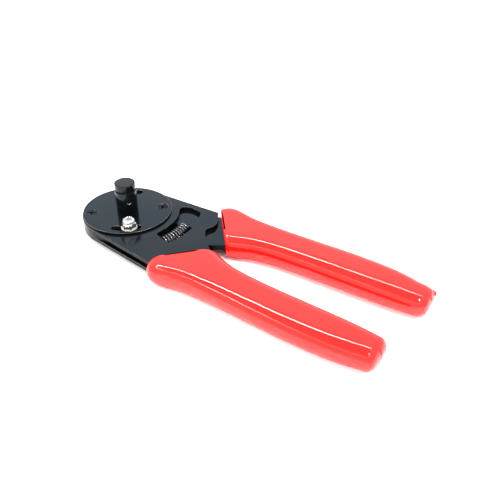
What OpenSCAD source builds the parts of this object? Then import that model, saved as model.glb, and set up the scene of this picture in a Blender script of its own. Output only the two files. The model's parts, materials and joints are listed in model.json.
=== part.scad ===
// Four-indent crimping tool with two dipped handles.
// The crimp axis is Z. +X runs from the head to the handles. Z = 0 is the underside of the lower frame plate.

/* [Head] */
// Radius of the round cover disc
cover_r = 25; // [24.5:0.1:25.3]
// Thickness of the cover disc
cover_t = 1.2; // [1:0.1:1.5]
// Radius of the round end of the plates
head_r = 25.4; // [25.4:0.1:25.8]
// Thickness of each frame plate
frame_plate_t = 2; // [1.8:0.1:2.2]
// Thickness of each of the two laminated lever plates
lever_plate_t = 1.5; // [1.4:0.1:1.6]
// Gap between the lever and each frame plate
plate_gap = 0.1; // [0.05:0.01:0.15]

/* [Die] */
// Radius of the hub that the lever turns on
hub_r = 10; // [9.5:0.1:10.5]
// Radial play of the lever on the hub
hub_play = 0.06; // [0.02:0.01:0.1]
// Radius of the hole that the contact goes into
entry_r = 2.1; // [1.8:0.1:2.4]
// Width of an indenter
indenter_w = 2.2; // [2:0.1:2.4]
// Radius of an indenter's round head
indenter_head_r = 2; // [1.9:0.05:2.1]
// Inward travel of each indenter
indenter_travel = 1.3; // [1:0.1:1.3]

/* [Motion] */
// Angle that the moving handle closes by
closing_angle = 7; // [5:0.5:7]
// Angle that the moving handle stands open by, beyond the mirror image of the fixed one
rest_opening = 1.8; // [1.5:0.1:3]

/* [Locator] */
// Radius of the locator post
post_r = 6; // [5.5:0.1:6.5]
// Height of the locator post above the cover disc
post_h = 13; // [10:0.5:14]
// Radius of the adjusting cap on the post
cap_r = 5.8; // [5:0.1:5.8]
// Height of the adjusting cap
cap_h = 4.5; // [4:0.5:6]

/* [Spring] */
// Radius of the arc that the return spring lies on
spring_path_r = 35.2; // [35:0.1:35.4]
// Outer radius of the spring's coil
spring_coil_r = 3.7; // [3.5:0.1:3.8]
// Radius of the spring's wire
spring_wire_r = 0.5; // [0.4:0.05:0.5]
// Number of coils
spring_coils = 11; // [8:1:12]

/* [Guide] */
// Radius of the circle that the guide bolts lie on
guide_r = 20; // [19.8:0.1:20.1]
// Radius of a guide bolt's shank
guide_bolt_r = 2; // [1.9:0.05:2]
// Width of the arc slots
guide_slot_w = 4.18; // [4.16:0.01:4.2]

/* [Grips] */
// Full thickness of a dipped grip
grip_t = 13.4; // [12.4:0.2:14]
// Thickness of the dipped coat at the edges of a handle
grip_skin = 2.9; // [2.5:0.1:3]
// How much longer the fixed grip's end is than its outline
fixed_grip_reach = -1.4; // [-1.4:0.1:0]
// The same for the moving grip
moving_grip_reach = 2.4; // [0:0.1:2.6]

/* [Hidden] */

$fn = 64;
// Overlap that joins two bodies of one solid
overlap = 0.5;

// Levels, from the underside of the lower frame plate up
frame_bottom_z = frame_plate_t;
lever_z = frame_bottom_z + plate_gap;
lever_t = 2 * lever_plate_t;
frame_top_z = lever_z + lever_t + plate_gap;
plate_top_z = frame_top_z + frame_plate_t;
cover_top_z = plate_top_z + cover_t;
mid_z = plate_top_z / 2;
post_top_z = cover_top_z + post_h;

// Straight edges of the frame plates leave the round end at these angles
front_edge_angle = 5.9;
back_edge_angle = 4.1;
front_tangent = head_r * [-sin(front_edge_angle), -cos(front_edge_angle)];
back_tangent = head_r * [-sin(back_edge_angle), cos(back_edge_angle)];
front_corner = front_tangent + 47.3 * [cos(front_edge_angle), -sin(front_edge_angle)];
back_corner = back_tangent + 45 * [cos(back_edge_angle), sin(back_edge_angle)];

// Grip outline, fixed side: the outer edge from the head to the end, then the inner edge back
grip_points = [[42, -30.6], [43.6, -33.6], [48.4, -35.6], [54, -35.1], [61, -33.6], [70, -32.8],
    [86, -32.8], [105, -33.3], [125, -33.8], [144, -33.3], [157, -31.9], [165.5, -29.8],
    [170, -25.6], [171.3, -20.6], [169.3, -14.2], [164, -11.2], [150, -10.5], [120, -10.1],
    [101, -9.8], [90, -9.2], [81, -7.8], [74, -5.6], [69, -3.6], [66.3, -3], [64, -5.2],
    [55, -16.4], [44.8, -28.6]];

// Edge of the upper frame plate between the back corner and the fixed handle, with its notch
notch_points = [[44, 26.9], [45.5, 25.1], [47.4, 22.8], [49.5, 18.3], [49.7, 15.2], [48.6, 12.4], [48.7, 9.6],
    [50.9, 6.6], [54.2, 3.2], [58.9, -0.8], [62.5, -3.6]];
// The same edge of the lower frame plate, without a notch
lower_edge_points = [[44, 26.9], [45.5, 25.1], [49, 20.5], [56, 8], [59.5, 1.4], [62.5, -3.6]];

// Window for the return spring: its radii and angles
window_in_r = 29.4;
window_out_r = 41.7;
window_start = -16;
window_end = 50;
window_round = 1.9;
shoulder_angle = 15;
// Where the spring's first coil rests on the frame
spring_start = -15;
// The lower plate's cradle clears the coil by this on each side
cradle_play = 0.4;

// The lever's web: the radius inside the spring, the shoulder's reach, and its outline from there on
web_r = 28.8;
shoulder_r = 43.4;
lever_web_points = [[46.4, 1.2], [50.2, -2.4], [52.4, -1.2], [63.4, 6.4], [68, 9.6], [72, 30],
    [56, 32.9], [50, 32.4], [46.2, 28.4], [40, 26]];

// Rivets in each handle, as places along the fixed handle
rivet_r = 2;
rivet_places = [[78, -21.5], [118, -22], [154, -21.3]];

// Cover screws and entry screws
cover_screw_r = 1.5;
cover_screw_head_r = 3.2;
cover_screw_head_h = 1.2;
cover_screw_path_r = 20;
entry_screw_r = 1.25;
entry_screw_head_r = 1.8;
entry_screw_head_h = 1.5;
entry_screw_path_r = 6.4;
entry_plate_r = 14;
entry_plate_t = 1.2;
entry_collar_r = 4.6;
hub_spigot_r = 8;

// Indenters slide in the housing; their round heads ride in spiral pockets of the lever
indenter_h = 2.6;
indenter_play = 0.05;
indenter_tip_r = entry_r + 0.1;
indenter_head_path_r = 13.5;
pocket_play = 0.09;
pocket_steps = 6;
pocket_margin = 0.4;

// Locator: the post's spigot, its bore and the adjusting cap's stem
post_spigot_r = 4;
post_spigot_z = plate_top_z - 1.8;
post_bore_r = 3;
stem_play = 0.08;
stem_bottom_z = cover_top_z + 2.6;
set_screw_angle = -29;
set_screw_z = cover_top_z + 8;
set_screw_r = 1.5;

// Guide bolts
guide_angles = [-43.5, 136.5];
guide_slot_start = -23;
guide_slot_end = 13;
washer_r = 4.4;
washer_t = 0.8;
nut_af = 7;
nut_hex_h = 3.2;
nut_collar_r = 3.15;
nut_h = 4.9;
insert_t = 1.2;
insert_r = 2.65;
insert_depth = 0.3;
bolt_head_r = 3.8;
bolt_head_h = 2.2;
bolt_socket_r = 1.45;
bolt_end_depth = 0.4;

// Grip slabs: half thickness, and how many slabs make its rounded side
grip_half = grip_t / 2;
grip_layers = 4;
// The drip on the moving grip's end: where it starts, its length and its radius
grip_drip = [168, -27, 6];
grip_drip_r = 1.3;

// A closed curve through points, each stretch of it cut into steps
function curve_point(a, b, c, d, t) =
    0.5 * (2 * b + (c - a) * t + (2 * a - 5 * b + 4 * c - d) * t * t
        + (3 * b - a - 3 * c + d) * t * t * t);
function closed_curve(p, steps) = [for (i = [0 : len(p) - 1], s = [0 : steps - 1])
    let (n = len(p))
    curve_point(p[(i + n - 1) % n], p[i], p[(i + 1) % n], p[(i + 2) % n], s / steps)];
function open_curve(p, steps) = [for (i = [0 : len(p) - 2], s = [0 : steps])
    if (s < steps || i == len(p) - 2)
    curve_point(p[max(i - 1, 0)], p[i], p[i + 1], p[min(i + 2, len(p) - 1)], s / steps)];

module ring_sector(r_in, r_out, start, end) {
    polygon([
        for (i = [0 : 24]) r_in * [cos(start + (end - start) * i / 24), sin(start + (end - start) * i / 24)],
        for (i = [24 : -1 : 0]) r_out * [cos(start + (end - start) * i / 24), sin(start + (end - start) * i / 24)]
    ]);
}

module grip_outline(reach) {
    polygon(closed_curve([for (p = grip_points) p[0] > 160 ? p + [reach, 0] : p], 3));
}

module tang_outline() {
    offset(delta = -grip_skin) grip_outline(fixed_grip_reach);
}

// Mirror image of the fixed side, opened to the rest position
module lever_side() {
    rotate(rest_opening) mirror([0, 1]) children();
}

// Round end, web and handle of a frame plate, as one outline
module frame_outline(edge_points) {
    offset(delta = 0) {
        hull() {
            circle(r = head_r, $fn = 144);
            polygon([front_corner, back_corner, [30, 0]]);
        }
        polygon(concat([[30, 0], front_corner, [56, -31.4], [64, -28], [66.5, -8]],
            [for (i = [len(edge_points) - 1 : -1 : 0]) edge_points[i]]));
        tang_outline();
    }
}

module window_outline() {
    offset(r = window_round) offset(delta = -window_round)
        intersection() {
            ring_sector(window_in_r, window_out_r, window_start, window_end);
            polygon([[20, -20], [60, -20], [60, 19.4], [35.2, 22.9], [27.3, 23.8], [22.6, 21.6]]);
        }
}

module cradle_outline() {
    reach = spring_coil_r + cradle_play;
    ring_sector(spring_path_r - reach, spring_path_r + reach, window_start, 36);
}

// An arc slot with round ends
module arc_slot_outline(r, w, start, end) {
    function at(a) = r * [cos(a), sin(a)];
    polygon([
        for (i = [0 : 16]) (r - w / 2) * [cos(start + (end - start) * i / 16), sin(start + (end - start) * i / 16)],
        for (i = [1 : 9]) at(end) + w / 2 * [cos(end + 180 - 18 * i), sin(end + 180 - 18 * i)],
        for (i = [16 : -1 : 0]) (r + w / 2) * [cos(start + (end - start) * i / 16), sin(start + (end - start) * i / 16)],
        for (i = [1 : 9]) at(start) + w / 2 * [cos(start - 18 * i), sin(start - 18 * i)]
    ]);
}

module guide_slots(z, h) {
    for (a = guide_angles) translate([0, 0, z]) linear_extrude(h)
        arc_slot_outline(guide_r, guide_slot_w, a + guide_slot_start, a + guide_slot_end);
}

module at_cover_screws() {
    for (a = [45, 225]) rotate(a) translate([cover_screw_path_r, 0, 0]) children();
}

module at_entry_screws() {
    for (a = [135, 315]) rotate(a) translate([entry_screw_path_r, 0, 0]) children();
}

module at_guides() {
    for (a = guide_angles) rotate(a) translate([guide_r, 0, 0]) children();
}

module at_rivets() {
    for (p = rivet_places) translate([p[0], p[1], 0]) children();
}

module frame_top_plate() {
    color("darkslategray") difference() {
        translate([0, 0, frame_top_z]) linear_extrude(frame_plate_t) frame_outline(
            open_curve(concat([back_corner], notch_points), 5));
        translate([0, 0, frame_top_z - 1]) linear_extrude(frame_plate_t + 2) window_outline();
        translate([0, 0, frame_top_z - 1]) cylinder(r = hub_spigot_r, h = frame_plate_t + 2);
        guide_slots(frame_top_z - 1, frame_plate_t + 2);
        at_cover_screws() translate([0, 0, frame_top_z - 1])
            cylinder(r = cover_screw_r, h = frame_plate_t + 2);
        at_rivets() translate([0, 0, frame_top_z - 1]) cylinder(r = rivet_r, h = frame_plate_t + 2);
    }
}

module frame_bottom_plate() {
    color("darkslategray") difference() {
        linear_extrude(frame_plate_t) frame_outline(
            open_curve(concat([back_corner], lower_edge_points), 5));
        translate([0, 0, -1]) linear_extrude(frame_plate_t + 2) cradle_outline();
        translate([0, 0, -1]) cylinder(r = hub_spigot_r, h = frame_plate_t + 2);
        guide_slots(-1, frame_plate_t + 2);
        at_rivets() translate([0, 0, -1]) cylinder(r = rivet_r, h = frame_plate_t + 2);
    }
}

module frame_spacer() {
    color("dimgray") difference() {
        translate([0, 0, frame_bottom_z]) linear_extrude(frame_top_z - frame_bottom_z)
            intersection() {
                tang_outline();
                translate([70, -50]) square([120, 50]);
            }
        at_rivets() cylinder(r = rivet_r, h = plate_top_z);
    }
}

module frame_rivets() {
    color("silver") at_rivets() cylinder(r = rivet_r, h = plate_top_z);
}

// A dipped grip: a rounded slab with a pocket for the handle
module grip(reach) {
    difference() {
        for (i = [0 : grip_layers - 1]) {
            // the slab's inset follows a quarter circle
            low = sin(90 * i / grip_layers);
            high = sin(90 * (i + 1) / grip_layers);
            inset = grip_half * 0.9 * (1 - sqrt(1 - low * low));
            translate([0, 0, mid_z - grip_half * high])
                linear_extrude(2 * grip_half * high) offset(delta = -inset) grip_outline(reach);
        }
        linear_extrude(plate_top_z) tang_outline();
        linear_extrude(plate_top_z) polygon([front_corner + [-8, 0.8], front_corner + [3, -0.3],
            [56, -31.4], [66.5, -8], [62.5, -3.6], [54, 0]]);
    }
}

module fixed_grip() {
    color("red") grip(fixed_grip_reach);
}

module cover_disc() {
    color("darkslategray") difference() {
        translate([0, 0, plate_top_z]) cylinder(r = cover_r, h = cover_t, $fn = 128);
        translate([0, 0, plate_top_z - 1]) cylinder(r = post_spigot_r, h = cover_t + 2);
        guide_slots(plate_top_z - 1, cover_t + 2);
        at_cover_screws() translate([0, 0, plate_top_z - 1]) {
            cylinder(r = cover_screw_r, h = cover_t + 2);
            translate([0, 0, 1 + cover_t / 2]) cylinder(r = cover_screw_head_r, h = cover_t);
        }
    }
}

module cross_recess(size, depth) {
    for (a = [0, 90]) rotate(a) translate([-size / 2, -size / 10, -depth]) cube([size, size / 5, 2 * depth]);
}

module cover_screws() {
    color("black") at_cover_screws() difference() {
        union() {
            translate([0, 0, frame_top_z]) cylinder(r = cover_screw_r, h = plate_top_z - frame_top_z + cover_t / 2);
            translate([0, 0, plate_top_z + cover_t / 2]) cylinder(r = cover_screw_head_r - 0.15, h = cover_screw_head_h);
        }
        translate([0, 0, plate_top_z + cover_t / 2 + cover_screw_head_h]) cross_recess(3.6, 0.8);
    }
}

module die_housing() {
    slot_w = indenter_w + 2 * indenter_play;
    slot_h = indenter_h + 2 * indenter_play;
    color("dimgray") difference() {
        union() {
            translate([0, 0, -entry_plate_t]) cylinder(r = entry_collar_r, h = entry_plate_t + overlap);
            cylinder(r = hub_spigot_r, h = plate_top_z);
            translate([0, 0, frame_bottom_z]) cylinder(r = hub_r, h = frame_top_z - frame_bottom_z);
        }
        translate([0, 0, -entry_plate_t - 1]) cylinder(r = entry_r, h = plate_top_z + entry_plate_t + 2);
        translate([0, 0, post_spigot_z]) cylinder(r = post_spigot_r, h = 3);
        for (a = [0, 90]) rotate(a) translate([-hub_r - 1, -slot_w / 2, mid_z - slot_h / 2])
            cube([2 * hub_r + 2, slot_w, slot_h]);
        at_entry_screws() translate([0, 0, -1]) cylinder(r = entry_screw_r, h = 3);
    }
}

module entry_plate() {
    color("darkslategray") difference() {
        translate([0, 0, -entry_plate_t]) cylinder(r = entry_plate_r, h = entry_plate_t);
        translate([0, 0, -entry_plate_t - 1]) cylinder(r = entry_collar_r, h = entry_plate_t + 2);
        at_entry_screws() translate([0, 0, -entry_plate_t - 1]) cylinder(r = entry_screw_r, h = 4);
    }
}

module entry_screws() {
    color("black") at_entry_screws() difference() {
        union() {
            translate([0, 0, -entry_plate_t]) cylinder(r = entry_screw_r, h = entry_plate_t + 2);
            translate([0, 0, -entry_plate_t - entry_screw_head_h])
                cylinder(r = entry_screw_head_r, h = entry_screw_head_h);
        }
        translate([0, 0, -entry_plate_t - entry_screw_head_h]) cross_recess(2.4, 0.8);
    }
}

module locator_post() {
    color("black") difference() {
        union() {
            translate([0, 0, cover_top_z]) cylinder(r = post_r, h = post_h);
            translate([0, 0, post_spigot_z]) cylinder(r = post_spigot_r, h = cover_top_z - post_spigot_z + overlap);
        }
        translate([0, 0, post_spigot_z - 1]) cylinder(r = post_bore_r, h = post_top_z);
        rotate(set_screw_angle) translate([0, 0, set_screw_z]) rotate([0, 90, 0])
            cylinder(r = set_screw_r, h = post_r + 1);
    }
}

module locator_set_screw() {
    reach = post_r - 0.3;
    color("silver") rotate(set_screw_angle) translate([post_bore_r + 0.1, 0, set_screw_z])
        rotate([0, 90, 0]) difference() {
            cylinder(r = set_screw_r, h = reach - post_bore_r - 0.1);
            translate([0, 0, reach - post_bore_r - 1.1]) cylinder(r = 0.75, h = 2, $fn = 6);
        }
}

module locator_cap() {
    chamfer = 0.6;
    color("black") translate([0, 0, post_top_z]) rotate_extrude() polygon([
        [0, stem_bottom_z - post_top_z], [post_bore_r - stem_play, stem_bottom_z - post_top_z],
        [post_bore_r - stem_play, 0], [cap_r, 0], [cap_r, cap_h - chamfer],
        [cap_r - chamfer, cap_h], [0, cap_h]]);
}

// Ring of the lever, its web and its handle, as one outline
module lever_outline() {
    offset(delta = 0) difference() {
        union() {
            hull() {
                circle(r = head_r, $fn = 144);
                polygon([back_corner - [0, 0.6], back_corner - [4, 3], [28, 10]]);
            }
            // the web reaches into the spring's bay, and is cut back to it below
            polygon(concat([[-1, -20], [14, -24]],
                [for (a = [-52 : 6 : 8]) (web_r + 1) * [cos(a), sin(a)]],
                [shoulder_r * [cos(shoulder_angle - 3), sin(shoulder_angle - 3)]],
                lever_web_points));
            lever_side() tang_outline();
        }
        ring_sector(web_r, shoulder_r, -62, shoulder_angle);
    }
}

// Where a round head and its shank pass through the lever while it closes
module indenter_pocket() {
    offset(delta = pocket_play) for (i = [0 : pocket_steps]) {
        turn = -pocket_margin + (closing_angle + 2 * pocket_margin) * i / pocket_steps;
        reach = indenter_head_path_r - indenter_travel * turn / closing_angle;
        rotate(turn) {
            translate([reach, 0]) circle(r = indenter_head_r, $fn = 48);
            translate([hub_r - 1, -indenter_w / 2]) square([reach - hub_r + 1, indenter_w]);
        }
    }
}

module lever_plate(z) {
    color("darkslategray") difference() {
        translate([0, 0, z]) linear_extrude(lever_plate_t) lever_outline();
        translate([0, 0, z - 1]) cylinder(r = hub_r + hub_play, h = lever_plate_t + 2);
        for (k = [0 : 3]) rotate(90 * k) translate([0, 0, z - 1])
            linear_extrude(lever_plate_t + 2) indenter_pocket();
        at_guides() translate([0, 0, z - 1]) cylinder(r = guide_bolt_r, h = lever_plate_t + 2);
        lever_side_3d() at_rivets() translate([0, 0, z - 1]) cylinder(r = rivet_r, h = lever_plate_t + 2);
    }
}

module lever_side_3d() {
    rotate([0, 0, rest_opening]) mirror([0, 1, 0]) children();
}

module lever_top_plate() {
    lever_plate(lever_z + lever_plate_t);
}

module lever_bottom_plate() {
    lever_plate(lever_z);
}

module lever_doubler(z, t) {
    color("dimgray") lever_side_3d() difference() {
        translate([0, 0, z]) linear_extrude(t) intersection() {
            tang_outline();
            translate([72, -50]) square([120, 50]);
        }
        at_rivets() translate([0, 0, z - 1]) cylinder(r = rivet_r, h = t + 2);
    }
}

module lever_doubler_top() {
    lever_doubler(lever_z + lever_t, plate_top_z - lever_z - lever_t);
}

module lever_doubler_bottom() {
    lever_doubler(0, lever_z);
}

module lever_rivets() {
    color("silver") lever_side_3d() at_rivets() cylinder(r = rivet_r, h = plate_top_z);
}

module moving_grip() {
    color("red") {
        difference() {
            lever_side_3d() grip(moving_grip_reach);
            translate([0, 0, lever_z]) linear_extrude(lever_t) lever_outline();
        }
        // the drip that the coat leaves at its end
        lever_side_3d() translate([grip_drip[0], grip_drip[1], mid_z + 1.4]) rotate([0, 90, 0])
            cylinder(r = grip_drip_r, h = grip_drip[2]);
    }
}

module guide_bolts() {
    color("silver") at_guides() {
        translate([0, 0, -washer_t - overlap])
            cylinder(r = guide_bolt_r, h = overlap + cover_top_z + 2 * washer_t + nut_h - bolt_end_depth);
        difference() {
            translate([0, 0, -washer_t - bolt_head_h]) cylinder(r = bolt_head_r, h = bolt_head_h);
            translate([0, 0, -washer_t - bolt_head_h - 1]) cylinder(r = bolt_socket_r, h = 2.3, $fn = 6);
        }
    }
}

module guide_washers() {
    color("silver") at_guides() for (z = [-washer_t, cover_top_z]) translate([0, 0, z]) difference() {
        cylinder(r = washer_r, h = washer_t);
        translate([0, 0, -1]) cylinder(r = guide_bolt_r, h = washer_t + 2);
    }
}

module guide_nuts() {
    color("silver") at_guides() translate([0, 0, cover_top_z + washer_t]) difference() {
        union() {
            cylinder(r = nut_af / 2 / cos(30), h = nut_hex_h, $fn = 6);
            cylinder(r = nut_collar_r, h = nut_h);
        }
        translate([0, 0, -1]) cylinder(r = guide_bolt_r, h = nut_h + 2);
        translate([0, 0, nut_h - insert_t - insert_depth]) cylinder(r = insert_r, h = insert_t);
    }
}

module guide_nut_inserts() {
    color("white") at_guides() translate([0, 0, cover_top_z + washer_t + nut_h - insert_t - insert_depth]) difference() {
        cylinder(r = insert_r, h = insert_t);
        translate([0, 0, -1]) cylinder(r = guide_bolt_r, h = insert_t + 2);
    }
}

module indenter(k) {
    tip_w = 0.8;
    taper = 1.4;
    color("silver") rotate([0, 0, 90 * k]) translate([0, 0, mid_z - indenter_h / 2]) {
        linear_extrude(indenter_h) polygon([[indenter_tip_r, -tip_w / 2], [indenter_tip_r + taper, -indenter_w / 2],
            [indenter_head_path_r, -indenter_w / 2], [indenter_head_path_r, indenter_w / 2],
            [indenter_tip_r + taper, indenter_w / 2], [indenter_tip_r, tip_w / 2]]);
        translate([indenter_head_path_r, 0, 0]) cylinder(r = indenter_head_r, h = indenter_h);
    }
}

module indenter_1() { indenter(0); }
module indenter_2() { indenter(1); }
module indenter_3() { indenter(2); }
module indenter_4() { indenter(3); }

module return_spring() {
    end_turn = asin((spring_wire_r + 0.06) / spring_path_r);
    first = spring_start + end_turn;
    last = shoulder_angle - end_turn;
    color("gray") for (i = [0 : spring_coils - 1])
        rotate(first + (last - first) * i / (spring_coils - 1)) translate([spring_path_r, 0, mid_z])
            rotate([90, 0, 0]) rotate_extrude()
                translate([spring_coil_r - spring_wire_r, 0]) circle(r = spring_wire_r, $fn = 24);
}

frame_top_plate();
frame_bottom_plate();
frame_spacer();
frame_rivets();
fixed_grip();
cover_disc();
cover_screws();
die_housing();
entry_plate();
entry_screws();
locator_post();
locator_set_screw();
locator_cap();
lever_top_plate();
lever_bottom_plate();
lever_doubler_top();
lever_doubler_bottom();
lever_rivets();
moving_grip();
guide_bolts();
guide_washers();
guide_nuts();
guide_nut_inserts();
indenter_1();
indenter_2();
indenter_3();
indenter_4();
return_spring();
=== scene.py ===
"""Looks of the four-indent crimping tool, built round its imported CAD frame."""

import json
import math

import bmesh
import bpy
from mathutils import Matrix, Vector


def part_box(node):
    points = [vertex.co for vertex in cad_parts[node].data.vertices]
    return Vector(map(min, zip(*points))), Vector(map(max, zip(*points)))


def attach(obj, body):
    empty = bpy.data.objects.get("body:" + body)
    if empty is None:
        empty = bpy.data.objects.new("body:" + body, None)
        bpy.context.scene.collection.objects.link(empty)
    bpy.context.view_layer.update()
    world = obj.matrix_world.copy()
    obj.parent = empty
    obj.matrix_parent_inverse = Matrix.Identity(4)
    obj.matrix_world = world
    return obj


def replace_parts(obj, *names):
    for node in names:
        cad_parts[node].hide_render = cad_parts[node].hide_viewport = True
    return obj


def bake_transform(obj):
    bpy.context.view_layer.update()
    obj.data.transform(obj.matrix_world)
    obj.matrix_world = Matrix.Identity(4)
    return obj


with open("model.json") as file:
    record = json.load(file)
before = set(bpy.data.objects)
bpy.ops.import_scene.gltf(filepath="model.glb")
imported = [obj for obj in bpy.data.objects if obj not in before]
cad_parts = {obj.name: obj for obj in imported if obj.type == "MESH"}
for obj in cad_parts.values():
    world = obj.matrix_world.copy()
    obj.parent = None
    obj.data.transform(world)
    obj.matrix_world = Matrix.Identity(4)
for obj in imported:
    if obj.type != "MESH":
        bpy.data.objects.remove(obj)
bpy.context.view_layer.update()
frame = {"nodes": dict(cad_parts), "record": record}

MM = 0.001
TAU = 2 * math.pi

# Levels from the frame, in metres
GRIP_LOW, GRIP_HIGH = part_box("fixed_grip")
DISC_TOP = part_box("cover_disc")[1].z
POST_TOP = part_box("locator_post")[1].z
CAP_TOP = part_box("locator_cap")[1].z
FLOOR_Z = GRIP_LOW.z
MID_Z = (GRIP_LOW.z + GRIP_HIGH.z) / 2

# Places that the CAD part states, in mm and degrees
GUIDE_R = 20
GUIDE_ANGLES = (-43.5, 136.5)
COVER_SCREW_R = 20
COVER_SCREW_ANGLES = (45, 225)
REST_OPENING = 1.8
SET_SCREW_ANGLE = -29
SET_SCREW_Z = 16.4

# The locator's post, cap and stem, in mm
POST_R = 6
CAP_R = 5.8
STEM_R = 2.85
STEM_DEPTH = 4

# Sizes of the guide studs' fasteners, in mm
WASHER_R = 4.4
WASHER_HEIGHT = 0.8
HEX_ACROSS_FLATS = 7
HEX_HEIGHT = 3.2
NUT_HEIGHT = 4.9
BOLT_R = 2

# Width of the plates' broken edges, in mm
PLATE_BEVEL = 0.14


# ---------------------------------------------------------------- camera

def make_camera():
    azimuth = math.radians(35.4)
    elevation = math.radians(34.81)
    data = bpy.data.cameras.new("camera")
    data.sensor_width = 36
    data.lens = 48.49
    data.clip_start = 0.01
    camera = bpy.data.objects.new("camera", data)
    bpy.context.scene.collection.objects.link(camera)
    forward = Vector((
        -math.sin(azimuth) * math.cos(elevation),
        math.cos(azimuth) * math.cos(elevation),
        -math.sin(elevation),
    ))
    camera.location = Vector((0.24671, -0.22699, DISC_TOP + 0.19978))
    camera.rotation_euler = forward.to_track_quat("-Z", "Y").to_euler()
    bpy.context.scene.camera = camera


# ---------------------------------------------------------------- materials

def set_ramp(node, stops):
    """Fills a colour ramp with stops: pairs of a place and a colour or grey level."""
    elements = node.color_ramp.elements
    elements.remove(elements[1])
    for i, (place, colour) in enumerate(stops):
        element = elements[0] if i == 0 else elements.new(place)
        element.position = place
        element.color = (*colour, 1) if isinstance(colour, tuple) else (colour, colour, colour, 1)


class Nodes:
    """A material's node tree, with short calls for the nodes used here."""

    def __init__(self, name, **inputs):
        self.material = bpy.data.materials.new(name)
        self.material.use_nodes = True
        self.tree = self.material.node_tree
        self.shader = self.tree.nodes["Principled BSDF"]
        for key, value in inputs.items():
            self.shader.inputs[key.replace("_", " ")].default_value = value

    def add(self, kind, **inputs):
        node = self.tree.nodes.new(kind)
        for key, value in inputs.items():
            node.inputs[key.replace("_", " ")].default_value = value
        return node

    def link(self, source, target):
        self.tree.links.new(source, target)

    def noise(self, scale, detail=4.0, roughness=0.6, stretch=(1, 1, 1)):
        mapping = self.add("ShaderNodeMapping", Scale=stretch)
        self.link(self.add("ShaderNodeTexCoord").outputs["Object"], mapping.inputs["Vector"])
        node = self.add("ShaderNodeTexNoise", Scale=scale, Detail=detail, Roughness=roughness)
        self.link(mapping.outputs["Vector"], node.inputs["Vector"])
        return node.outputs["Fac"]

    def ramp(self, source, stops, target):
        """Colours or grey levels along source, led into one of the shader's inputs."""
        node = self.add("ShaderNodeValToRGB")
        set_ramp(node, stops)
        self.link(source, node.inputs["Fac"])
        self.link(node.outputs["Color"], self.shader.inputs[target])

    def bump(self, source, distance, strength=1.0):
        node = self.add("ShaderNodeBump", Strength=strength, Distance=distance)
        self.link(source, node.inputs["Height"])
        self.link(node.outputs["Normal"], self.shader.inputs["Normal"])


def black_oxide():
    """Blued steel under oil: near black and glossy, with faint blue and brown clouds."""
    n = Nodes("black_oxide", Metallic=0.0, IOR=1.37, Specular_Tint=(0.22, 0.58, 1.0, 1))
    n.ramp(n.noise(34, 5, 0.62), [(0.36, (0.0004, 0.0014, 0.003)), (0.5, (0.001, 0.002, 0.0026)),
                                  (0.66, (0.004, 0.0035, 0.002))], "Base Color")
    n.ramp(n.noise(70, 6, 0.68), [(0.3, 0.07), (0.72, 0.17)], "Roughness")
    n.bump(n.noise(700, 3, 0.7), 0.000006, 0.3)
    return n.material


def black_edge():
    """The plates' cut sides, which are duller than their faces."""
    n = Nodes("black_edge", Metallic=0.0, IOR=1.2)
    n.ramp(n.noise(90, 4, 0.6, (1, 1, 6)),
           [(0.3, (0.0006, 0.0008, 0.001)), (0.7, (0.003, 0.003, 0.003))], "Base Color")
    n.ramp(n.noise(260, 4), [(0.3, 0.15), (0.7, 0.3)], "Roughness")
    return n.material


def black_gloss():
    """The locator post and the side of its cap."""
    n = Nodes("black_gloss", Metallic=0.0, IOR=1.36, Specular_Tint=(0.7, 0.9, 1.0, 1))
    n.ramp(n.noise(120, 4), [(0.3, (0.001, 0.0015, 0.0015)), (0.7, (0.003, 0.003, 0.003))], "Base Color")
    n.ramp(n.noise(300, 5), [(0.3, 0.06), (0.7, 0.13)], "Roughness")
    return n.material


def black_turned():
    """The cap's top face, which is greyer and duller than its side."""
    n = Nodes("black_turned", Metallic=0.0, IOR=2.0)
    n.ramp(n.noise(420, 4), [(0.3, (0.010, 0.011, 0.012)), (0.7, (0.03, 0.031, 0.033))], "Base Color")
    n.ramp(n.noise(900, 4), [(0.3, 0.25), (0.7, 0.4)], "Roughness")
    return n.material


def black_screw():
    n = Nodes("black_screw", Metallic=0.0, IOR=1.3)
    n.ramp(n.noise(500, 4), [(0.3, (0.001, 0.001, 0.001)), (0.7, (0.004, 0.004, 0.004))], "Base Color")
    n.ramp(n.noise(700, 4), [(0.3, 0.14), (0.7, 0.24)], "Roughness")
    return n.material


def metal(name, low, high, rough_low, rough_high, scale=400):
    """Bare or plated metal whose colour and roughness wander between two values."""
    n = Nodes(name, Metallic=1.0)
    n.ramp(n.noise(scale, 4), [(0.3, low), (0.7, high)], "Base Color")
    n.ramp(n.noise(2 * scale, 4), [(0.3, rough_low), (0.7, rough_high)], "Roughness")
    return n.material


def nylon():
    n = Nodes("nylon", Roughness=0.45)
    n.ramp(n.noise(500, 3), [(0.3, (0.72, 0.72, 0.68)), (0.7, (0.8, 0.8, 0.77))], "Base Color")
    return n.material


def red_vinyl():
    """Dipped vinyl: saturated red, glossy, with slow waves in its thickness."""
    n = Nodes("red_vinyl", IOR=1.5)
    n.ramp(n.noise(25, 3), [(0.3, (0.86, 0.005, 0.003)), (0.7, (0.92, 0.008, 0.005))], "Base Color")
    n.ramp(n.noise(260, 4), [(0.3, 0.03), (0.7, 0.05)], "Roughness")
    n.bump(n.noise(45, 2, 0.5, (0.4, 1, 1)), 0.0002, 0.08)
    return n.material


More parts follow.
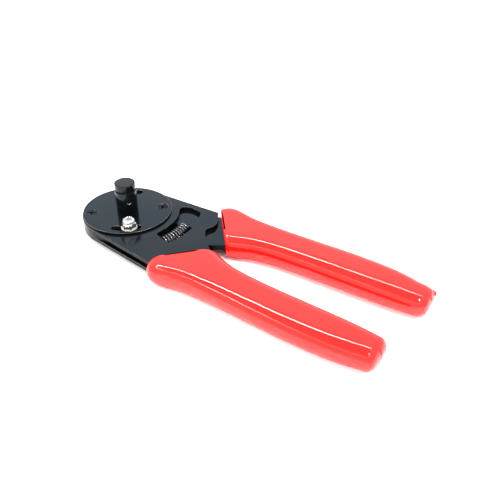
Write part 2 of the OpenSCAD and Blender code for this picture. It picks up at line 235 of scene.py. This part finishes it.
MATERIALS = {
    "black_steel": black_oxide(),
    "black_post": black_gloss(),
    "black_screw": black_screw(),
    "bright_steel": metal("bright_plating", (0.56, 0.57, 0.58), (0.68, 0.69, 0.69), 0.07, 0.15),
    "plain_steel": metal("plain_steel", (0.28, 0.28, 0.28), (0.42, 0.42, 0.42), 0.3, 0.45, 200),
    "tool_steel": metal("tool_steel", (0.4, 0.4, 0.4), (0.55, 0.55, 0.54), 0.2, 0.3, 300),
    "spring_steel": metal("spring_steel", (0.10, 0.10, 0.105), (0.17, 0.17, 0.18), 0.12, 0.2, 600),
    "nylon": nylon(),
    "red_coat": red_vinyl(),
}
TURNED = black_turned()
EDGE = black_edge()
# a lighter metal for the plates' bevels: the bevels catch light themselves, and this metal brightens
# those edge lines as a painted highlight
EDGE_SHEEN = metal("edge_sheen", (0.07, 0.075, 0.08), (0.16, 0.165, 0.17), 0.25, 0.4)
STUD = metal("stud_zinc", (0.34, 0.35, 0.35), (0.46, 0.46, 0.45), 0.3, 0.42)
ZINC = metal("zinc_washer", (0.62, 0.60, 0.50), (0.74, 0.72, 0.62), 0.12, 0.22)


def dress_frame():
    """Gives each CAD node the material of its slot."""
    for part in frame["record"]["subparts"]:
        data = frame["nodes"][part["node"]].data
        data.materials.clear()
        data.materials.append(MATERIALS[part["material_slot"]])


# ---------------------------------------------------------------- mesh helpers

def mesh_piece(name, bm, slot, body=None, material=None, crease=None):
    """A linked object from bm. Edges sharper than crease, in degrees, stay sharp."""
    data = bpy.data.meshes.new(name)
    bmesh.ops.recalc_face_normals(bm, faces=bm.faces)
    bm.to_mesh(data)
    bm.free()
    for polygon in data.polygons:
        polygon.use_smooth = True
    if crease:
        data.set_sharp_from_angle(angle=math.radians(crease))
    data.materials.append(material or MATERIALS[slot])
    piece = bpy.data.objects.new(name, data)
    bpy.context.scene.collection.objects.link(piece)
    if body:
        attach(piece, body)
    return piece


def spline(values, t):
    """Catmull-Rom through values, which are Vectors, at t from 0 to len(values) - 1."""
    i = min(int(t), len(values) - 2)
    u = t - i
    a = values[max(i - 1, 0)]
    b, c = values[i], values[i + 1]
    d = values[min(i + 2, len(values) - 1)]
    return 0.5 * (2 * b + (c - a) * u + (2 * a - 5 * b + 4 * c - d) * u * u
                  + (3 * b - a - 3 * c + d) * u ** 3)


def turns(count):
    """Equal angles round a circle."""
    return [TAU * k / count for k in range(count)]


def skin(bm, rings):
    """Quads between closed rings of equal length, each ring a list of Vectors."""
    rows = [[bm.verts.new(p) for p in ring] for ring in rings]
    count = len(rows[0])
    for low, high in zip(rows, rows[1:]):
        for k in range(count):
            m = (k + 1) % count
            bm.faces.new((low[k], low[m], high[m], high[k]))
    return rows


def closed(bm, rings):
    """Quads between rings, with a face over each end."""
    rows = skin(bm, rings)
    bm.faces.new(rows[0])
    bm.faces.new(rows[-1])


def rounded(profile, radius, steps=3):
    """A profile of (r, z) points with every corner but its two ends rounded off."""
    points = [Vector(p) for p in profile]
    out = [points[0]]
    for before, corner, after in zip(points, points[1:], points[2:]):
        cut = min(radius, (before - corner).length / 2.2, (after - corner).length / 2.2)
        start = corner + (before - corner).normalized() * cut
        end = corner + (after - corner).normalized() * cut
        for k in range(steps + 1):
            t = k / steps
            out.append((1 - t) ** 2 * start + 2 * t * (1 - t) * corner + t * t * end)
    return out + [points[-1]]


def polar(radius, angle, z=0.0):
    return Vector((radius * math.cos(angle), radius * math.sin(angle), z))


def lathe(bm, profile, place=(0, 0, 0), sides=72):
    """Turns (r, z) points in mm about the Z axis through place."""
    offset = Vector(place)
    rings = [[(polar(p[0], a, p[1]) + offset) * MM for a in turns(sides)] for p in profile]
    rows = skin(bm, rings)
    for row, point in ((rows[0], profile[0]), (rows[-1], profile[-1])):
        if point[0] > 0.001:
            bm.faces.new(row)
    bmesh.ops.remove_doubles(bm, verts=bm.verts, dist=1e-7)


def bevelled(node, body):
    """A copy of a plate with broken edges: its faces, cut sides and bevels each have a material."""
    bm = bmesh.new()
    bm.from_mesh(frame["nodes"][node].data)
    bmesh.ops.remove_doubles(bm, verts=bm.verts, dist=1e-6)
    bmesh.ops.dissolve_limit(bm, angle_limit=math.radians(1), verts=bm.verts, edges=bm.edges)
    piece = mesh_piece(node + "_edged", bm, "black_steel", body, crease=35)
    piece.data.materials.append(EDGE)
    piece.data.materials.append(EDGE_SHEEN)
    for polygon in piece.data.polygons:
        if abs(polygon.normal.z) < 0.5:
            polygon.material_index = 1
    modifier = piece.modifiers.new("edges", "BEVEL")
    modifier.width = PLATE_BEVEL * MM
    modifier.segments = 2
    modifier.limit_method = "ANGLE"
    modifier.angle_limit = math.radians(60)
    modifier.harden_normals = True
    # the bevels take the lighter metal, a painted highlight along the plates' edges
    modifier.material = 2
    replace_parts(piece, node)


# ---------------------------------------------------------------- grips

# Stations along a grip, in mm: outer edge x and y, then inner edge x and y, fixed side
GRIP_STATIONS = [
    (43.0, -29.9, 64.9, -4.4),
    (44.2, -33.0, 67.2, -3.1),
    (48.0, -35.5, 71.0, -4.4),
    (53.5, -35.2, 76.0, -6.4),
    (61.0, -33.6, 81.5, -7.9),
    (70.0, -32.8, 87.5, -8.9),
    (86.0, -32.8, 97.0, -9.6),
    (105.0, -33.3, 110.0, -10.0),
    (125.0, -33.8, 128.0, -10.2),
    (144.0, -33.3, 146.0, -10.4),
    (156.0, -32.0, 157.0, -10.8),
    (164.0, -30.2, 164.5, -11.3),
]
FIXED_TIP = 169.8
MOVING_TIP = 173.6
TIP_Y = -20.8
GRIP_SIDE = 8.4  # how far in each side rounds
GRIP_SIDES = 24  # steps round a side
GRIP_TOPS = 8  # steps across the top and the bottom
GRIP_LIP = 1.1
GRIP_STEPS = 6  # rings from one station to the next
END_RINGS = 14
END_BLUNT = 0.38  # a lower power gives a squarer end, seen from above
END_ROUND = 0.6  # length over which the height rounds off, as a share of the half height
END_FACE = 0.12  # share of the height that is left at the tip


def side_point(a):
    """The section's rounded side at angle a: out from the flat, and up from the middle."""
    out, up = math.cos(a), math.sin(a)
    if up < 0:
        # the underside keeps its width lower down than the top does
        return 0.35 * abs(out) ** 0.3 + 0.65 * abs(out), up
    return abs(out) ** 0.86, up ** 0.86


def end_fall(x):
    """How much the coat's top leans down toward the grip's end, as a share of its height."""
    return 0.1 * max(0.0, (x - 144) / 22) ** 2


def grip_ring(outer, inner, height, depth=GRIP_SIDE, fall=0.0):
    """One closed section: a slab whose sides round in by depth. fall lowers its top."""
    middle = (outer + inner) / 2
    across = inner - outer
    width = across.length / 2
    across.normalize()
    side = min(depth, width)
    flat = width - side
    points = []
    for k in range(GRIP_SIDES + 1):
        out, up = side_point(math.pi / 2 - math.pi * k / GRIP_SIDES)
        points.append((flat + side * out, up))
    points += [(flat * (1 - 2 * k / GRIP_TOPS), -1) for k in range(1, GRIP_TOPS)]
    for k in range(GRIP_SIDES + 1):
        out, up = side_point(-math.pi / 2 + math.pi * k / GRIP_SIDES)
        points.append((-flat - side * out, up))
    points += [(-flat * (1 - 2 * k / GRIP_TOPS), 1) for k in range(1, GRIP_TOPS)]
    top = height * (1 - fall)
    return [Vector((middle.x + across.x * s, middle.y + across.y * s, (top if h > 0 else height) * h))
            for s, h in points]


def lip_rings(start, half):
    """The coat's rolled lip, where the dip ends."""
    outer, inner = Vector(start[:2]), Vector(start[2:])
    ahead = Vector((outer.y - inner.y, inner.x - outer.x)).normalized()
    rings = []
    for k in range(7):
        a = math.pi / 2 * k / 6
        inset = GRIP_LIP * (1 - math.sin(a))
        shift = ahead * GRIP_LIP * (math.cos(a) - 1)
        across = (inner - outer).normalized() * inset
        rings.append(grip_ring(outer + across + shift, inner - across + shift,
                               half - inset, GRIP_SIDE - inset))
    return rings


def end_rings(last, tip, half):
    """The closed end, from the last station to the tip."""
    centre = Vector(((last.x + last.z) / 2, (last.y + last.w) / 2))
    length = tip - centre.x
    rings = []
    for k in range(1, END_RINGS + 1):
        a = math.pi / 2 * k / (END_RINGS + 0.5)
        x = centre.x + length * math.sin(a)
        narrow = math.cos(a) ** END_BLUNT
        near = max(0.0, 1 - (tip - x) / (END_ROUND * half))
        height = half * (END_FACE + (1 - END_FACE) * math.sqrt(max(0.0, 1 - near ** 2)))
        middle_y = centre.y + (TIP_Y - centre.y) * math.sin(a)
        outer = Vector((x, middle_y - (centre.y - last.y) * narrow))
        inner = Vector((x, middle_y + (last.w - centre.y) * narrow))
        rings.append(grip_ring(outer, inner, height, fall=end_fall(x)))
    return rings


def grip_rings(tip):
    half = (GRIP_HIGH.z - GRIP_LOW.z) / 2 / MM
    stations = [Vector(s) for s in GRIP_STATIONS]
    rings = lip_rings(stations[0], half)
    for i in range(1, (len(stations) - 1) * GRIP_STEPS + 1):
        s = spline(stations, i / GRIP_STEPS)
        rings.append(grip_ring(Vector(s[:2]), Vector(s[2:]), half, fall=end_fall((s.x + s.z) / 2)))
    return rings + end_rings(stations[-1], tip, half)


def place_grip(point, moving):
    """A fixed grip's point in mm, put in its place in metres, or mirrored and opened if moving."""
    p = Vector((point.x, point.y, 0)) * MM
    if moving:
        p.y = -p.y
        p = Matrix.Rotation(math.radians(REST_OPENING), 3, "Z") @ p
    p.z = MID_Z + point.z * MM
    return p


def make_grip(name, node, body, moving):
    bm = bmesh.new()
    rings = grip_rings(MOVING_TIP if moving else FIXED_TIP)
    closed(bm, [[place_grip(p, moving) for p in ring] for ring in rings])
    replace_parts(mesh_piece(name, bm, "red_coat", body), node)


def make_drip():
    """The bead that the dip left on the moving grip's end."""
    root_x, root_y, root_z = 169.2, -27, 1.4
    reach, root_r, bead_r = 4.4, 2.4, 1.15
    bm = bmesh.new()
    rings = []
    for k in range(13):
        t = k / 12
        along = reach * math.sin(math.pi / 2 * t)
        radius = root_r * (1 - t) + bead_r * math.sqrt(max(0.0, 1 - t * t)) * t
        ring = [Vector((root_x + along, root_y + radius * math.cos(a), root_z + radius * math.sin(a)))
                for a in turns(24)]
        rings.append([place_grip(p, True) for p in ring])
    skin(bm, rings)
    bmesh.ops.remove_doubles(bm, verts=bm.verts, dist=1e-7)
    mesh_piece("grip_drip", bm, "red_coat", "lever")


# ---------------------------------------------------------------- return spring

def make_spring():
    """A helix bent round the hinge axis."""
    path_r, coil_r, wire_r = 35.2, 3.2, 0.5
    first, last = math.radians(-14), math.radians(14.1)
    coils = 9.5
    steps = int(coils * 30)
    rings = []

    def centre(i):
        u = i / steps
        a = first + (last - first) * u
        phase = TAU * coils * u
        radius = path_r + coil_r * math.cos(phase)
        return polar(radius, a, MID_Z / MM + coil_r * math.sin(phase))

    for i in range(steps + 1):
        here = centre(i)
        along = (centre(i + 1) - centre(i - 1)).normalized()
        side = along.cross(Vector((0, 0, 1))).normalized()
        up = side.cross(along)
        rings.append([(here + wire_r * (math.cos(t) * side + math.sin(t) * up)) * MM
                      for t in turns(10)])
    bm = bmesh.new()
    closed(bm, rings)
    piece = mesh_piece("return_spring_helix", bm, "spring_steel")
    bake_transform(piece)
    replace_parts(piece, "return_spring")


# ---------------------------------------------------------------- locator

def make_post():
    """The post, and the cap that rises on its stem."""
    low, high = DISC_TOP / MM, POST_TOP / MM
    bm = bmesh.new()
    lathe(bm, rounded([(0, low - 0.3), (POST_R, low - 0.3), (POST_R, high), (0, high)], 0.25), sides=96)
    body = mesh_piece("post_body", bm, "black_post", "frame", crease=30)
    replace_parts(body, "locator_post")
    cap_low, cap_high = high, CAP_TOP / MM
    bm = bmesh.new()
    # the stem that the cap slides on, hidden in the post at rest
    stem_low, stem_high = cap_low - STEM_DEPTH, cap_low + 0.4
    lathe(bm, [(0, stem_low), (STEM_R, stem_low), (STEM_R, stem_high), (0, stem_high)])
    cap_side = [(0, cap_low), (CAP_R, cap_low), (CAP_R, cap_high), (4.0, cap_high)]
    lathe(bm, rounded(cap_side, 0.3), sides=96)
    cap = mesh_piece("post_cap", bm, "black_post", "locator_cap", crease=30)
    bm = bmesh.new()
    face_r, face_low, face_high = CAP_R - 0.45, cap_high - 0.3, cap_high - 0.02
    lathe(bm, [(0, face_low), (face_r, face_low), (face_r, face_high), (0, face_high)], sides=96)
    mesh_piece("post_cap_face", bm, "black_post", "locator_cap", TURNED, crease=30)
    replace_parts(cap, "locator_cap")


def make_set_screw():
    """The set screw in the post's side, and a thin bright steel crescent on the post round its hole's
    lower lip: a painted highlight standing in for that lip's glint.
    """
    glint_r, glint_thick, glint_steps = 1.4, 0.16, 17
    bm = bmesh.new()
    turn = Matrix.Rotation(math.radians(SET_SCREW_ANGLE), 3, "Z")

    def at(out, across, up):
        return turn @ Vector((out, across, SET_SCREW_Z + up)) * MM

    rings = []
    for out, r in ((4.2, 0.001), (4.2, 1.3), (5.5, 1.3), (5.6, 1.2), (5.6, 0.001)):
        rings.append([at(out, r * math.cos(t), r * math.sin(t)) for t in turns(32)])
    closed(bm, rings)
    # painted highlight: a bright steel crescent, thickest in its middle, laid on the post's surface
    # where the hole's lower lip glints
    rings = []
    for i in range(glint_steps):
        t = math.radians(205 + 115 * i / (glint_steps - 1))
        thick = glint_thick * math.sin(math.pi * (i + 0.5) / glint_steps)
        y, z = glint_r * math.cos(t), glint_r * math.sin(t)
        surface = math.sqrt(POST_R ** 2 - y * y)
        rings.append([at(surface + thick * math.cos(a), y + thick * math.sin(a) * math.cos(t),
                         z + thick * math.sin(a) * math.sin(t)) for a in turns(10)])
    closed(bm, rings)
    screw = mesh_piece("set_screw", bm, "bright_steel", "frame", crease=40)
    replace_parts(screw, "locator_set_screw")


# ---------------------------------------------------------------- fasteners

def hexagon(bm, place, low, chamfer=0.3):
    """A hexagon with its corners turned off by a cone at the top and bottom."""
    high = low + HEX_HEIGHT
    flat = HEX_ACROSS_FLATS / 2
    corner = flat / math.cos(math.pi / 6)

    def reach(a):
        return flat / math.cos((a + math.pi / 6) % (math.pi / 3) - math.pi / 6)

    # the last value is how far the ring drops for each mm that it stands past a flat
    rings = []
    for z, limit, cone in ((low, corner - chamfer * 1.5, 0), (low + chamfer * 0.5, corner, 0),
                           (high - chamfer, corner, 0.9), (high, corner - chamfer * 2, 0)):
        rings.append([(polar(min(reach(a), limit), a, z - (reach(a) - flat) * cone) + place) * MM
                      for a in turns(72)])
    closed(bm, rings)


def make_fasteners():
    """The lock nuts, washers and bolts of the two guide studs."""
    disc = DISC_TOP / MM
    low = disc + WASHER_HEIGHT
    top = low + NUT_HEIGHT
    nuts, collars, washers, bolts, inserts = [bmesh.new() for _ in range(5)]
    for degrees in GUIDE_ANGLES:
        place = polar(GUIDE_R, math.radians(degrees))
        for base in (disc, -WASHER_HEIGHT):
            lathe(washers, rounded([(2.2, base), (WASHER_R, base), (WASHER_R, base + WASHER_HEIGHT),
                                    (2.2, base + WASHER_HEIGHT)], 0.2), place)
        hexagon(nuts, place, low)
        lathe(collars, rounded([(2.2, low + 2.6), (3.15, low + 2.9), (3.25, low + 4.1), (2.85, top),
                                (2.35, top), (2.3, top - 0.5), (0, top - 0.5)], 0.35), place)
        lathe(inserts, rounded([(1.9, top - 1.2), (2.4, top - 1.2), (2.4, top - 0.42),
                                (1.9, top - 0.42)], 0.05), place)
        lathe(bolts, rounded([(0, -0.4), (BOLT_R, -0.4), (BOLT_R, top - 0.35), (1.75, top - 0.12),
                              (0, top - 0.12)], 0.15), place)
        # the bolt's head, with a round recess where its driver goes
        lathe(bolts, rounded([(0, -0.8), (3.7, -0.8), (3.75, -1.4), (2.9, -2.7), (1.6, -3.0),
                              (1.5, -1.8), (0, -1.8)], 0.25), place)
    pieces = {
        "guide_nuts": mesh_piece("lock_nuts", nuts, "bright_steel", "lever", crease=25),
        "guide_washers": mesh_piece("washers", washers, "bright_steel", "lever", ZINC, crease=30),
        "guide_bolts": mesh_piece("studs", bolts, "bright_steel", "lever", STUD, crease=30),
        "guide_nut_inserts": mesh_piece("nut_rings", inserts, "nylon", "lever", crease=30),
    }
    mesh_piece("nut_collars", collars, "bright_steel", "lever", crease=40)
    for node, piece in pieces.items():
        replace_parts(piece, node)


CROSS_REACH = 1.95
CROSS_DEPTH = 1.3
CROSS_TURN = 0.5
# The head's outline in mm: radius, and depth below its crown
HEAD_PROFILE = ((2.7, 1.0), (2.7, 0.7), (2.62, 0.5), (2.45, 0.34), (2.25, 0.22), (2.0, 0.13),
                (1.7, 0.07), (1.4, 0.03), (1.1, 0), (0.8, 0), (0.5, 0), (0.25, 0))


def cross_depth(r, t):
    """Depth of the cross recess at radius r and angle t."""
    x, y = abs(r * math.cos(t - CROSS_TURN)), abs(r * math.sin(t - CROSS_TURN))
    near, far = min(x, y), max(x, y)
    if far >= CROSS_REACH:
        return 0.0
    return CROSS_DEPTH * max(0.0, min(1.0, (0.6 - near) / 0.16)) * min(1.0, (CROSS_REACH - far) / 0.3)


def make_cover_screws():
    """Two pan screws with a cross recess, each in a ring of clearance."""
    top = DISC_TOP / MM + 0.1
    heads = bmesh.new()
    for degrees in COVER_SCREW_ANGLES:
        place = polar(COVER_SCREW_R, math.radians(degrees))
        closed(heads, [[(polar(r, t, top - below - cross_depth(r, t)) + place) * MM for t in turns(96)]
                       for r, below in HEAD_PROFILE])
        lathe(heads, [(0, top - 3.0), (1.45, top - 3.0), (1.45, top - 1.0), (0, top - 1.0)], place)
    piece = mesh_piece("cover_screw_heads", heads, "black_screw", "frame", crease=35)
    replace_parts(piece, "cover_screws")


# ---------------------------------------------------------------- light and floor

def lamp(name, place, target, size, power):
    data = bpy.data.lights.new(name, "AREA")
    data.shape = "DISK"
    data.size = size
    data.energy = power
    light = bpy.data.objects.new(name, data)
    bpy.context.scene.collection.objects.link(light)
    light.location = place
    light.rotation_euler = (Vector(target) - Vector(place)).to_track_quat("-Z", "Y").to_euler()
    return light


def make_world():
    """A light tent: even walls, a dimmer top, and the bright rim of its opening."""
    world = bpy.data.worlds.new("tent")
    bpy.context.scene.world = world
    world.use_nodes = True
    tree = world.node_tree
    background = tree.nodes["Background"]

    def node(kind, operation=None):
        made = tree.nodes.new(kind)
        if operation:
            made.operation = operation
        return made

    coordinates = node("ShaderNodeTexCoord")

    def along(direction):
        dot = node("ShaderNodeVectorMath", "DOT_PRODUCT")
        tree.links.new(coordinates.outputs["Generated"], dot.inputs[0])
        dot.inputs[1].default_value = direction
        return dot.outputs["Value"]

    def levels(source, stops):
        made = node("ShaderNodeValToRGB")
        set_ramp(made, stops)
        tree.links.new(source, made.inputs["Fac"])
        return made.outputs["Color"]

    def combine(operation, a, b):
        made = node("ShaderNodeMath", operation)
        for value, socket in ((a, made.inputs[0]), (b, made.inputs[1])):
            if isinstance(value, (int, float)):
                socket.default_value = value
            else:
                tree.links.new(value, socket)
        return made.outputs["Value"]

    # the opening's middle leans a little toward -Y
    opening = along((-0.008, -0.156, 0.988))
    walls = levels(opening, [(0.0, 1.0), (0.70, 1.0), (0.76, 0.5), (0.79, 0.5), (0.81, 0.6), (1.0, 0.6)])
    rim = levels(opening, [(0.785, 0.0), (0.789, 1.0), (0.809, 1.0), (0.813, 0.0)])
    # the rim is brightest toward -X and +Y
    side = levels(along((-0.89, 0.45, 0.0)), [(0.0, 0.15), (0.2, 0.35), (0.5, 1.0)])
    wall_light = combine("MULTIPLY", walls, 1.45)
    rim_light = combine("MULTIPLY", combine("MULTIPLY", rim, side), 60.0)
    tree.links.new(combine("ADD", wall_light, rim_light), background.inputs["Strength"])
    background.inputs["Color"].default_value = (1.0, 1.0, 1.0, 1)


def make_floor():
    n = Nodes("floor", Roughness=0.7)
    n.ramp(n.noise(8, 2), [(0.3, (0.9, 0.9, 0.91)), (0.7, (0.92, 0.92, 0.93))], "Base Color")
    bm = bmesh.new()
    bmesh.ops.create_grid(bm, x_segments=1, y_segments=1, size=6)
    data = bpy.data.meshes.new("floor")
    bm.to_mesh(data)
    bm.free()
    data.materials.append(n.material)
    floor = bpy.data.objects.new("floor", data)
    floor.location.z = FLOOR_Z
    bpy.context.scene.collection.objects.link(floor)


def make_light():
    make_world()
    make_floor()
    lamp("key", (0.42, -0.1, 1.1), (0.07, 0, 0), 0.12, 9)
    # lightens the floor beside the grips, and isn't mirrored in them
    fill = lamp("fill", (0.25, -0.9, 0.35), (0.08, 0, 0), 0.5, 11)
    fill.visible_glossy = False


# ---------------------------------------------------------------- build

make_camera()
dress_frame()
for plate, rider in (("frame_top_plate", "frame"), ("frame_bottom_plate", "frame"),
                     ("cover_disc", "frame"), ("lever_top_plate", "lever"),
                     ("lever_bottom_plate", "lever")):
    bevelled(plate, rider)
make_grip("fixed_grip_coat", "fixed_grip", "frame", False)
make_grip("moving_grip_coat", "moving_grip", "lever", True)
make_drip()
make_spring()
make_post()
make_set_screw()
make_fasteners()
make_cover_screws()
make_light()
bpy.context.scene.view_settings.view_transform = "Standard"
